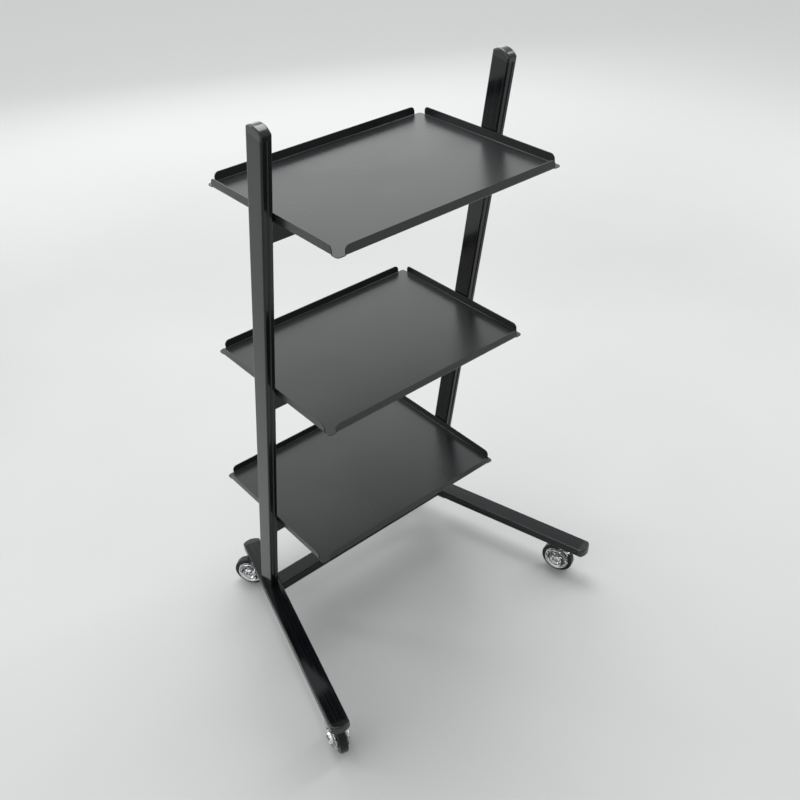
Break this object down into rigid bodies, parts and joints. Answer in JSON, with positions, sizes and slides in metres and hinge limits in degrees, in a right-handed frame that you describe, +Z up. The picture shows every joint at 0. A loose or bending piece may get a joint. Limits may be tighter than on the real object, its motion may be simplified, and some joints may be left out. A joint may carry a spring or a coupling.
{
  "type": "rolling salon trolley",
  "caption": "Open salon trolley: flat lipped sheet trays between forward-leaning posts on splayed feet with clear-sided swivel casters.",
  "frame": {"origin": "on the floor, under the middle of the trolley's bounding box", "axes": "+Z up, +X to the trolley's right seen from the front, +Y to the rear; the posts lean towards -Y"},
  "size_m": [0.7442, 0.57, 1.2156],
  "materials": {
    "black_bar": "black anodised extrusion, lightly brushed lengthwise on the wide faces",
    "black_cap": "moulded, semi-gloss",
    "black_sheet": "satin black powder coat on folded sheet",
    "black_bracket": "satin black powder coat",
    "zinc_steel": "zinc plated",
    "bright_steel": "polished, plated",
    "clear_plastic": "clear moulded polycarbonate",
    "tyre": "smooth black polyurethane tread"
  },
  "bodies": {
    "frame": {"left_post": "black_bar", "right_post": "black_bar", "left_post_cap": "black_cap", "right_post_cap": "black_cap", "post_plugs": "zinc_steel", "left_foot": "black_bar", "right_foot": "black_bar", "front_left_foot_cap": "black_cap", "front_right_foot_cap": "black_cap", "rear_left_foot_cap": "black_cap", "rear_right_foot_cap": "black_cap", "base_crossbar": "black_bar", "crossbar_plugs": "zinc_steel", "joint_plates": "zinc_steel", "post_bolts": "zinc_steel", "bolt_sleeves": "zinc_steel", "crossbar_screws": "zinc_steel", "top_tray": "black_sheet", "middle_tray": "black_sheet", "bottom_tray": "black_sheet", "top_rail": "black_bar", "middle_rail": "black_bar", "bottom_rail": "black_bar", "rail_brackets": "black_bracket", "post_rivet_nuts": "zinc_steel", "post_screws": "zinc_steel", "rail_screws": "zinc_steel", "tray_studs": "zinc_steel", "tray_nuts": "zinc_steel", "caster_inserts": "zinc_steel", "front_left_stem": "bright_steel", "front_right_stem": "bright_steel", "rear_left_stem": "bright_steel", "rear_right_stem": "bright_steel"},
    "front_left_swivel": {"front_left_fork": "clear_plastic", "front_left_race": "zinc_steel", "front_left_axle": "bright_steel"},
    "front_left_wheel": {"front_left_hub": "clear_plastic", "front_left_tyre": "tyre", "front_left_bearings": "zinc_steel"},
    "front_right_swivel": {"front_right_fork": "clear_plastic", "front_right_race": "zinc_steel", "front_right_axle": "bright_steel"},
    "front_right_wheel": {"front_right_hub": "clear_plastic", "front_right_tyre": "tyre", "front_right_bearings": "zinc_steel"},
    "rear_left_swivel": {"rear_left_fork": "clear_plastic", "rear_left_race": "zinc_steel", "rear_left_axle": "bright_steel"},
    "rear_left_wheel": {"rear_left_hub": "clear_plastic", "rear_left_tyre": "tyre", "rear_left_bearings": "zinc_steel"},
    "rear_right_swivel": {"rear_right_fork": "clear_plastic", "rear_right_race": "zinc_steel", "rear_right_axle": "bright_steel"},
    "rear_right_wheel": {"rear_right_hub": "clear_plastic", "rear_right_tyre": "tyre", "rear_right_bearings": "zinc_steel"}
  },
  "joints": [
    {"name": "front_left_caster_turn", "type": "hinge", "parent": "frame", "child": "front_left_swivel", "pos_m": [-0.34131, -0.22769, 0.079], "axis": [0, 0, 1], "continuous": true},
    {"name": "front_left_wheel_spin", "type": "hinge", "parent": "front_left_swivel", "child": "front_left_wheel", "pos_m": [-0.34649, -0.24701, 0.038], "axis": [0.9659, -0.2588, 0], "continuous": true},
    {"name": "front_right_caster_turn", "type": "hinge", "parent": "frame", "child": "front_right_swivel", "pos_m": [0.34131, -0.22769, 0.079], "axis": [0, 0, 1], "continuous": true},
    {"name": "front_right_wheel_spin", "type": "hinge", "parent": "front_right_swivel", "child": "front_right_wheel", "pos_m": [0.33513, -0.20867, 0.038], "axis": [-0.9511, -0.309, 0], "continuous": true},
    {"name": "rear_left_caster_turn", "type": "hinge", "parent": "frame", "child": "rear_left_swivel", "pos_m": [-0.21896, 0.23542, 0.079], "axis": [0, 0, 1], "continuous": true},
    {"name": "rear_left_wheel_spin", "type": "hinge", "parent": "rear_left_swivel", "child": "rear_left_wheel", "pos_m": [-0.23154, 0.25096, 0.038], "axis": [-0.7771, -0.6293, 0], "continuous": true},
    {"name": "rear_right_caster_turn", "type": "hinge", "parent": "frame", "child": "rear_right_swivel", "pos_m": [0.21896, 0.23542, 0.079], "axis": [0, 0, 1], "continuous": true},
    {"name": "rear_right_wheel_spin", "type": "hinge", "parent": "rear_right_swivel", "child": "rear_right_wheel", "pos_m": [0.20218, 0.24631, 0.038], "axis": [-0.5446, -0.8387, 0], "continuous": true}
  ]
}
